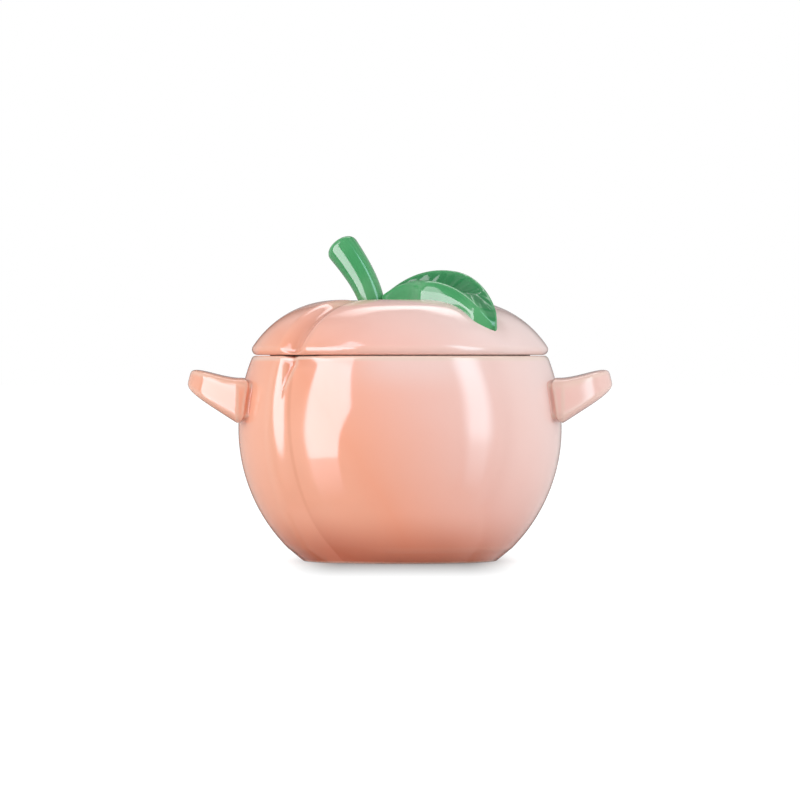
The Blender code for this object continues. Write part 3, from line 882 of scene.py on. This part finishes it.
def handle_shell(pot, handle):
    """A handle's mesh from rings: its bed in the wall, the groove round its root, the block and the tip."""
    outline = [Vector(p) for p in pot_outside(pot)[::2]]
    lines = [handle_line(pot, handle, 2 * math.pi * k / HANDLE_SIDES) for k in range(HANDLE_SIDES)]
    heights, spreads = [-handle.bed], [handle.fillet - handle.groove]
    for i in range(ROOT_STEPS + 1):
        turn = math.pi / 2 * (1 - i / ROOT_STEPS)
        heights.append(handle.fillet * (1 - math.sin(turn)) - ROOT_SINK)
        spreads.append(handle.fillet * (1 - math.cos(turn)) - handle.groove)
    for i in range(1, ROOT_STEPS + 1):
        part = i / ROOT_STEPS
        heights.append(handle.fillet + handle.root_round * part)
        spreads.append(-handle.groove * (1 + math.cos(math.pi * part)) / 2)
    points = []
    for height, spread in zip(heights, spreads):
        ring = [line(turn_at(outline, line, height)) for line in lines]
        for k, spot in enumerate(ring):
            along = ring[(k + 1) % HANDLE_SIDES] - ring[k - 1]
            points.append(spot + along.cross(pot_normal(outline, spot)).normalized() * spread)
    starts = [turn_at(outline, line, heights[-1]) for line in lines]
    for i in range(1, HANDLE_STATIONS):
        part = i / HANDLE_STATIONS
        points += [line(start + (math.pi / 2 - start) * part) for line, start in zip(lines, starts)]
    tip = lines[0](math.pi / 2)
    bed = sum(points[:HANDLE_SIDES], Vector()) / HANDLE_SIDES
    faces = stitched(len(points) // HANDLE_SIDES, HANDLE_SIDES)
    last = len(points) - HANDLE_SIDES
    for k in range(HANDLE_SIDES):
        j = (k + 1) % HANDLE_SIDES
        faces.append((k, len(points), j))
        faces.append((last + k, last + j, len(points) + 1))
    mesh = bpy.data.meshes.new("handle_shell")
    mesh.from_pydata(points + [bed, tip], [], faces)
    sealed(mesh)
    return mesh


def pot_normal(outline, spot):
    """Direction straight out of the pot's side near a point."""
    reach = spot.xy.length
    across = distance_to_pot(outline, spot + Vector((spot.x, spot.y, 0)) * (PROBE / reach))
    above = distance_to_pot(outline, spot + Vector((0, 0, PROBE)))
    here = distance_to_pot(outline, spot)
    flat = (across - here) / reach
    return Vector((spot.x * flat, spot.y * flat, above - here)).normalized()


class COCOTTE_OT_handles(Operator):
    """Builds the two lug handles with the grooves round their roots"""

    bl_idname = "cocotte.handles"
    bl_label = "Handles"

    def execute(self, context):
        settings = context.scene.cocotte
        shell = handle_shell(settings.pot, settings.handle)
        glaze = peach_glaze(
            "peach_glaze_handle", settings.glaze,
            lean=0.0, start=-0.098, end=0.135, thinning=0.45,
        )
        for name, turn in (("left_handle", math.pi), ("right_handle", 0.0)):
            mesh = shell.copy()
            mesh.name = name + "_glazed"
            mesh.transform(Matrix.Rotation(turn, 4, "Z"))
            show(mesh, "pot", name, glaze)
        bpy.data.meshes.remove(shell)
        return {"FINISHED"}


def upright(radius, height, marks, offset):
    """Places a point of a plain turned piece."""
    return spot_at(radius, offset, height), 0.0


class COCOTTE_OT_lid(Operator):
    """Builds the lid's dome with its dimple and crease, and the locating ring"""

    bl_idname = "cocotte.lid"
    bl_label = "Lid and ring"

    def execute(self, context):
        settings = context.scene.cocotte
        pot, lid, crease = settings.pot, settings.lid, settings.crease
        seat = lid_seat(pot, lid)
        rings = [(r, z, min(r / lid.crest_radius, 1.0), 0.0) for r, z in lid_outside(pot, lid)]
        rings += [(r, z, min(max(z / lid.edge_round, 0.0), 1.0), 0.0) for r, z in lid_edge(pot, lid)[1:]]
        rings += [(r, z, 0.0, 1.0) for r, z in lid_inside(pot, lid)]
        aim = Vector((0, 0, -crease.lid_aim))

        def place(radius, height, marks, offset):
            press = marks[0] * pressed(offset * radius, crease.lid_left, crease.lid_right)
            around = crease.angle + offset
            spot = spot_at(radius, around, height)
            spot += (aim - spot).normalized() * crease.lid_depth * press
            # The lid's whole pressed valley is darker as painted shade
            return spot + Vector((0, 0, seat)), press * LID_LINE

        mesh, marks = turned("lid_dome_glazed", rings, LID_COLUMNS, place)
        sealed(mesh)
        for name, values in zip(("crease", "liner"), zip(*marks)):
            mark(mesh, name, values)
        glaze = peach_glaze(
            "peach_glaze_lid", settings.glaze,
            lean=1.2, start=0.0400, end=0.1440, thinning=0.10,
        )
        show(mesh, "lid", "lid_dome", glaze)

        outer, inner = ring_radii(pot, lid)
        low = seat - lid.ring_depth
        top = seat + lid.ring_bed
        turn = lid.ring_chamfer
        section = [(inner, top), (outer, top)]
        section += arc((outer - turn, low + turn), turn, 0, -math.pi / 2, RING_STEPS)
        section += arc((inner + turn, low + turn), turn, -math.pi / 2, -math.pi, RING_STEPS)
        section.append(section[0])
        rings = [(r, z, 0.0) for r, z in section]
        mesh = turned("lid_ring_glazed", rings, RING_COLUMNS, upright)[0]
        sealed(mesh)
        cream = cream_glaze("cream_glaze_ring", settings.glaze)
        show(mesh, "lid_lifter", "lid_ring", cream)
        return {"FINISHED"}


class COCOTTE_OT_stem(Operator):
    """Builds the curved stem with its domed tip"""

    bl_idname = "cocotte.stem"
    bl_label = "Stem"

    def execute(self, context):
        settings = context.scene.cocotte
        pot, lid, stem = settings.pot, settings.lid, settings.stem
        level = lid_seat(pot, lid) + lid_height(lid_outside(pot, lid), stem.offset)
        root = Vector((-stem.offset, 0, level - stem.root_radius))
        tip = root + Vector((-stem.lean, stem.back, stem.height))
        control = root + Vector((-stem.sway, 0, stem.straight))
        path = interpolate_bezier(root, control, control.lerp(tip, 0.5), tip, STEM_STATIONS)
        span = (tip - root).length
        rings = []
        for i, station in enumerate(path):
            if (tip - station).length > stem.tip_round:
                along = (path[i + 1] - path[max(i - 1, 0)]).normalized()
                part = min((station - root).length / (span - stem.tip_round), 1.0)
                radius = stem.root_radius + (stem.tip_radius - stem.root_radius) * part
                height = min(max(station.z - level, 0.0), stem.fillet)
                radius += stem.fillet - math.sqrt(stem.fillet ** 2 - (stem.fillet - height) ** 2)
                rings.append((station, along, radius))
        along = (path[-1] - path[-2]).normalized()
        for i in range(TIP_STEPS + 1):
            turn = math.pi / 2 * i / TIP_STEPS
            station = tip - along * stem.tip_round * (1 - math.sin(turn))
            rings.append((station, along, stem.tip_radius - stem.tip_round * (1 - math.cos(turn))))
        end, along, radius = rings[-1]
        for i in range(1, CAP_STEPS):
            turn = math.pi / 2 * i / CAP_STEPS
            rings.append((end + along * stem.tip_dome * math.sin(turn), along, radius * math.cos(turn)))
        points = []
        for station, along, radius in rings:
            side = Vector((0, along.z, -along.y)).normalized()
            up = side.cross(along)
            for k in range(STEM_SIDES):
                turn = 2 * math.pi * k / STEM_SIDES
                points.append(station + (side * math.cos(turn) + up * math.sin(turn)) * radius)
        faces = stitched(len(rings), STEM_SIDES)
        faces.append(tuple(range(STEM_SIDES)))
        last = len(points) - STEM_SIDES
        points.append(end + along * stem.tip_dome)
        for k in range(STEM_SIDES):
            faces.append((last + k, last + (k + 1) % STEM_SIDES, len(points) - 1))
        mesh = bpy.data.meshes.new("stem_glazed")
        mesh.from_pydata(points, [], faces)
        sealed(mesh)
        glaze = green_glaze("green_glaze_stem", settings.glaze)
        show(mesh, "lid", "stem", glaze)
        return {"FINISHED"}


def along_cubic(values, part):
    """A value part of the way along a cubic curve with four control values."""
    rest = 1 - part
    weights = (rest ** 3, 3 * rest ** 2 * part, 3 * rest * part ** 2, part ** 3)
    return sum(weight * value for weight, value in zip(weights, values))


def ease(start, end, part):
    return start + (end - start) * part * part * (3 - 2 * part)


def swelling(height, place, reach, u):
    """Height, so far along the leaf, of a swelling that is highest at a place."""
    return height * math.exp(-((u - place) / reach) ** 2 / 2)


def leaf_vein(leaf, u, across):
    """Height of the side veins; across runs from the midrib to a lip."""
    step = u * leaf.vein_count - across * leaf.vein_slant
    aside = (step - math.floor(step) - 0.5) / leaf.vein_width
    fade = math.sin(math.pi * across) * max(math.sin(math.pi * u), 0.0)
    return leaf.vein_rise * fade * math.exp(-aside * aside)


def leaf_rise(leaf, u, v):
    """Height of the leaf above the lid: u runs from root to tip, v from its near edge to its far edge."""
    near = along_cubic((leaf.root_rise, leaf.near_arch, leaf.near_fall, leaf.tip_rise), u)
    far = along_cubic((leaf.root_rise, leaf.far_arch, leaf.far_fall, leaf.tip_rise), u)
    end = max(1 - (1 - u) / leaf.prow_share, 0.0)
    near *= math.sqrt(1 - leaf.prow_fall * end ** 2)
    far *= math.sqrt(1 - leaf.prow_fall * end ** 2)
    cup = min(near, far)
    cup *= 1 - leaf.cup * max(math.sin(math.pi * min(u / leaf.cup_end, 1.0)), 0.0) ** leaf.cup_fullness
    if v < leaf.near_lip:
        return near * math.sqrt(max(1 - ((v - leaf.near_lip) / (1 + leaf.near_lip)) ** 2, 0.0))
    if v < leaf.trough:
        across = (leaf.trough - v) / (leaf.trough - leaf.near_lip)
        return ease(cup, near, across) + leaf_vein(leaf, u, across)
    if v < leaf.far_lip:
        across = (v - leaf.trough) / (leaf.far_lip - leaf.trough)
        return ease(cup, far, across) + leaf_vein(leaf, u, across)
    return far * math.sqrt(max(1 - ((v - leaf.far_lip) / (1 - leaf.far_lip)) ** 2, 0.0))


def polar(radius, around):
    return Vector((math.cos(around), math.sin(around))) * radius


class COCOTTE_OT_leaf(Operator):
    """Builds the cupped leaf with its lips and side veins"""

    bl_idname = "cocotte.leaf"
    bl_label = "Leaf"

    def execute(self, context):
        settings = context.scene.cocotte
        pot, lid, leaf = settings.pot, settings.lid, settings.leaf
        seat = lid_seat(pot, lid)
        outline = lid_outside(pot, lid)
        level = [(0.0, lid.rise)] + outline[DIMPLE_STEPS:]
        root = polar(leaf.root, leaf.root_angle)
        bow = polar(leaf.bow, leaf.bow_angle)
        tip = polar(lid_radius(pot, lid) - leaf.tip_inset, leaf.tip_angle)
        block = bmesh.new()
        bmesh.ops.create_grid(block, x_segments=LEAF_STEPS[0], y_segments=LEAF_STEPS[1], size=1)
        cups = []
        for vertex in block.verts:
            u = (vertex.co.x + 1) / 2
            v = vertex.co.y
            rib = root * (1 - u) ** 2 + bow * 2 * u * (1 - u) + tip * u ** 2
            along = ((bow - root) * (1 - u) + (tip - bow) * u).normalized()
            widest = leaf.near_width if v < 0 else leaf.far_width
            end = max(1 - (1 - u) / leaf.prow_share, 0.0)
            blunt = math.sqrt(1 - leaf.prow_taper * end ** 2)
            half_width = leaf.tip_width * blunt
            half_width += widest * max(math.sin(math.pi * u ** leaf.forward), 0.0) ** leaf.bluntness
            if v < 0:
                half_width += swelling(leaf.first_swell, leaf.first_place, leaf.first_length, u)
                half_width += swelling(leaf.last_swell, leaf.last_place, leaf.last_length, u) * blunt
            spot = rib + Vector((-along.y, along.x)) * half_width * v
            height = lid_height(level, spot.length) + leaf_rise(leaf, u, v)
            vertex.co = (spot.x, spot.y, seat + height)
            inner = (v - leaf.near_lip) * (leaf.far_lip - v) / (leaf.far_lip - leaf.near_lip) ** 2
            cups.append(min(max(inner * CUP_MARK, 0.0), 1.0))
        deepening = bmesh.ops.extrude_face_region(block, geom=block.faces[:])
        for vertex in deepening["geom"]:
            if isinstance(vertex, bmesh.types.BMVert):
                below = lid_height(outline, vertex.co.xy.length) - lid.wall * LEAF_BED
                vertex.co.z = seat + below
        mesh = bpy.data.meshes.new("leaf_glazed")
        block.to_mesh(mesh)
        block.free()
        sealed(mesh)
        # The cup is darker like the hollows, with thick glaze and painted shade
        hollows = [bend.value for bend in mesh.attributes["hollow"].data]
        deepest = [max(pair) for pair in zip(hollows, cups + [0.0] * (len(hollows) - len(cups)))]
        mesh.attributes["hollow"].data.foreach_set("value", deepest)
        glaze = green_glaze("green_glaze_leaf", settings.glaze)
        show(mesh, "lid", "leaf", glaze)
        return {"FINISHED"}


# Stage

# What the camera looks at, where it stands, how much it sees across and its sensor in millimetres
AIM = Vector((0, 0, 0.0643))
CAMERA_PLACE = Vector((0, -2.6, 0.082))
FIELD = 0.320
SENSOR = 36.0

# The floor glows white for the camera, except in a patch in front of the foot, where it is a dim grey lit by
# the lamps: a painted shadow with the pot's real shadow in it
FLOOR_SIZE = 30.0
FLOOR_GREY = 0.90
FLOOR_PALE = 0.19
SHADOW_MIDDLE = 0.001
SHADOW_SIDES = (0.024, 0.052)
SHADOW_FRONT = (-0.07, 0.28)

# Brightness of the surroundings for soft light and for reflections
FILL = 0.55
SURROUND = 0.30

# Softboxes show in the glaze, and washes only light it. Each has a name, a brightness, a tint, a soft share
# at either side and rungs from one end to the other: a glow and two corners, as degrees to the camera's left
# and up
PANEL_DISTANCE = 3.0
RUNG_POINTS = 4
WHITE = (1.0, 1.0, 1.0)
SOFTBOXES = (
    ("key", 7.1, (1.0, 0.87, 1.0), 0.03, (
        (0.0, (46, 64), (70, 64)),
        (0.6, (46, 63), (70, 63)),
        (0.6, (40, 37), (73, 36)),
        (1.0, (39.5, 34), (88, 32)),
        (1.0, (34, 12), (84, 10)),
        (1.0, (51, -18), (80, -16)),
        (0.38, (51, -19), (80, -17)),
        (0.0, (58, -46), (84, -42)),
    )),
    ("left_wall", 0.6, WHITE, 0.15, (
        (0.0, (94, 75), (138, 75)),
        (1.0, (92, 55), (140, 55)),
        (1.0, (90, 40), (142, 40)),
        (1.0, (89, 32), (172, 32)),
        (1.0, (86, -8), (172, -8)),
        (0.0, (84, -40), (172, -40)),
    )),
    ("right", 5.2, (0.65, 0.9, 1.0), 0.30, (
        (0.0, (-52, 62), (-75, 60)),
        (1.0, (-51, 56), (-75, 54)),
        (1.0, (-42, 36), (-72, 30)),
        (0.95, (-44, -2), (-71, -2)),
        (0.45, (-45, -10), (-70, -10)),
        (0.0, (-46, -40), (-70, -40)),
    )),
    ("right_wall", 0.7, WHITE, 0.15, (
        (0.0, (-78, 75), (-122, 75)),
        (1.0, (-80, 55), (-124, 55)),
        (1.0, (-80, 40), (-126, 40)),
        (1.0, (-80, 32), (-172, 32)),
        (1.0, (-80, -12), (-172, -12)),
        (0.0, (-80, -44), (-172, -44)),
    )),
    ("top", 3.0, WHITE, 0.30, (
        (0.0, (146, 48), (148, 66)),
        (0.6, (159, 46), (160, 62)),
        (1.0, (173, 40), (173, 57)),
        (1.0, (186, 38), (187, 54)),
        (0.9, (203, 44), (202, 60)),
        (0.5, (212, 44), (212, 60)),
        (0.0, (230, 48), (230, 62)),
    )),
)
WASHES = (
    ("wash_left", 2.04, WHITE, 0.2, (
        (0.0, (12, 62), (112, 62)),
        (1.0, (12, 46), (112, 46)),
        (1.0, (12, 0), (112, 0)),
    )),
    ("wash_right", 1.90, WHITE, 0.2, (
        (0.0, (-12, 62), (-112, 62)),
        (1.0, (-12, 46), (-112, 46)),
        (1.0, (-12, 0), (-112, 0)),
    )),
)


def toward(azimuth, elevation):
    """Direction from the pot, with the azimuth counted to the left of the camera."""
    a, e = math.radians(azimuth), math.radians(elevation)
    return Vector((-math.sin(a) * math.cos(e), -math.cos(a) * math.cos(e), math.sin(e)))


def light_panel(name, brightness, tint, soft, rungs, in_glaze):
    """A glowing panel round the pot that fades out at its sides, and shows in the glaze or lights it."""
    points, glows, faces = [], [], []
    for glow, start, end in rungs:
        for part, level in ((0.0, 0.0), (soft, glow), (1 - soft, glow), (1.0, 0.0)):
            azimuth = start[0] + (end[0] - start[0]) * part
            elevation = start[1] + (end[1] - start[1]) * part
            points.append(AIM + toward(azimuth, elevation) * PANEL_DISTANCE)
            glows.append(level)
    for start in range(0, RUNG_POINTS * (len(rungs) - 1), RUNG_POINTS):
        for k in range(start, start + RUNG_POINTS - 1):
            faces.append((k, k + 1, k + 1 + RUNG_POINTS, k + RUNG_POINTS))
    mesh = bpy.data.meshes.new(name)
    mesh.from_pydata(points, [], faces)
    mark(mesh, "glow", glows)
    paint = Glaze(bpy.data.materials.new(name + "_light"))
    sockets = {"Color": opaque(tint), "Strength": paint.marked("glow") * brightness}
    light = paint.node("ShaderNodeEmission", {}, sockets)
    mesh.materials.append(paint.finish(light))
    panel = bpy.data.objects.new(name, mesh)
    bpy.context.scene.collection.objects.link(panel)
    panel.visible_camera = False
    panel.visible_diffuse = not in_glaze
    panel.visible_glossy = in_glaze


def seen_by_camera(paint, path):
    """1 for what the camera sees straight or through something clear."""
    return paint.term(path, "Is Camera Ray").largest(paint.term(path, "Is Transmission Ray"))


class COCOTTE_OT_stage(Operator):
    """Builds the floor, the lamps, the surroundings and the camera"""

    bl_idname = "cocotte.stage"
    bl_label = "Stage"

    def execute(self, context):
        scene = context.scene
        scene.view_settings.view_transform = "Standard"
        floor_mesh = bpy.data.meshes.new("floor")
        half = FLOOR_SIZE / 2
        corners = [(-half, -half, 0), (half, -half, 0), (half, half, 0), (-half, half, 0)]
        floor_mesh.from_pydata(corners, [], [(0, 1, 2, 3)])
        floor = bpy.data.objects.new("floor", floor_mesh)
        scene.collection.objects.link(floor)
        paint = Glaze(bpy.data.materials.new("floor_paint"))
        seen = seen_by_camera(paint, paint.node("ShaderNodeLightPath"))
        split = paint.node("ShaderNodeSeparateXYZ", {}, {0: paint.place()})
        aside = (paint.term(split, "X") - SHADOW_MIDDLE).size()
        inside = 1 - paint.between(aside, *SHADOW_SIDES)
        near = 1 - paint.between(paint.term(split, "Y").size(), *SHADOW_FRONT)
        reach = 1 - inside * near
        grey = paint.node("ShaderNodeBsdfDiffuse", {}, {"Color": opaque((FLOOR_GREY,) * 3)})
        pale = paint.node("ShaderNodeBsdfDiffuse", {}, {"Color": opaque((FLOOR_PALE,) * 3)})
        light = paint.node("ShaderNodeEmission", {}, {"Strength": reach})
        white = paint.node("ShaderNodeAddShader", {}, {0: pale.outputs[0], 1: light.outputs[0]})
        both = paint.node("ShaderNodeMixShader", {}, {0: seen, 1: grey.outputs[0], 2: white.outputs[0]})
        floor_mesh.materials.append(paint.finish(both))
        floor.visible_glossy = False

        scene.world = bpy.data.worlds.new("studio")
        sky = Glaze(scene.world)
        path = sky.node("ShaderNodeLightPath")
        around = sky.blend(sky.term(path, "Is Glossy Ray"), FILL, SURROUND)
        level = sky.blend(seen_by_camera(sky, path), around, 1.0)
        light = sky.node("ShaderNodeBackground", {}, {"Color": opaque(WHITE), "Strength": level})
        sky.finish(light, "ShaderNodeOutputWorld")

        for panel in SOFTBOXES:
            light_panel(*panel, True)
        for panel in WASHES:
            light_panel(*panel, False)

        data = bpy.data.cameras.new("camera")
        data.sensor_width = SENSOR
        data.lens = SENSOR * CAMERA_PLACE.length / FIELD
        camera = bpy.data.objects.new("camera", data)
        scene.collection.objects.link(camera)
        camera.location = CAMERA_PLACE
        camera.rotation_euler = (AIM - CAMERA_PLACE).to_track_quat("-Z", "Y").to_euler()
        scene.camera = camera
        return {"FINISHED"}


class COCOTTE_PT_panel(Panel):
    """Lists the steps that build the cocotte, its sizes and its colours"""

    bl_idname = "COCOTTE_PT_panel"
    bl_label = "Mini cocotte"
    bl_space_type = "VIEW_3D"
    bl_region_type = "UI"
    bl_category = "Cocotte"

    def draw(self, context):
        for step in STEPS:
            self.layout.operator(step.bl_idname)
        for part in ("pot", "handle", "lid", "stem", "leaf", "crease", "glaze"):
            group = getattr(context.scene.cocotte, part)
            box = self.layout.box()
            for name in group.bl_rna.properties.keys():
                if name not in ("rna_type", "name"):
                    box.prop(group, name)


STEPS = (
    COCOTTE_OT_pot,
    COCOTTE_OT_handles,
    COCOTTE_OT_lid,
    COCOTTE_OT_stem,
    COCOTTE_OT_leaf,
    COCOTTE_OT_stage,
)
GROUPS = (PotSizes, HandleSizes, LidSizes, StemSizes, LeafSizes, CreaseSizes, GlazeColours, CocotteSettings)


def register():
    for each in GROUPS + STEPS + (COCOTTE_PT_panel,):
        bpy.utils.register_class(each)
    bpy.types.Scene.cocotte = PointerProperty(type=CocotteSettings)


def unregister():
    del bpy.types.Scene.cocotte
    for each in reversed(GROUPS + STEPS + (COCOTTE_PT_panel,)):
        bpy.utils.unregister_class(each)


def main():
    register()
    bpy.ops.cocotte.pot()
    bpy.ops.cocotte.handles()
    bpy.ops.cocotte.lid()
    bpy.ops.cocotte.stem()
    bpy.ops.cocotte.leaf()
    bpy.ops.cocotte.stage()


if __name__ == "__main__":
    main()
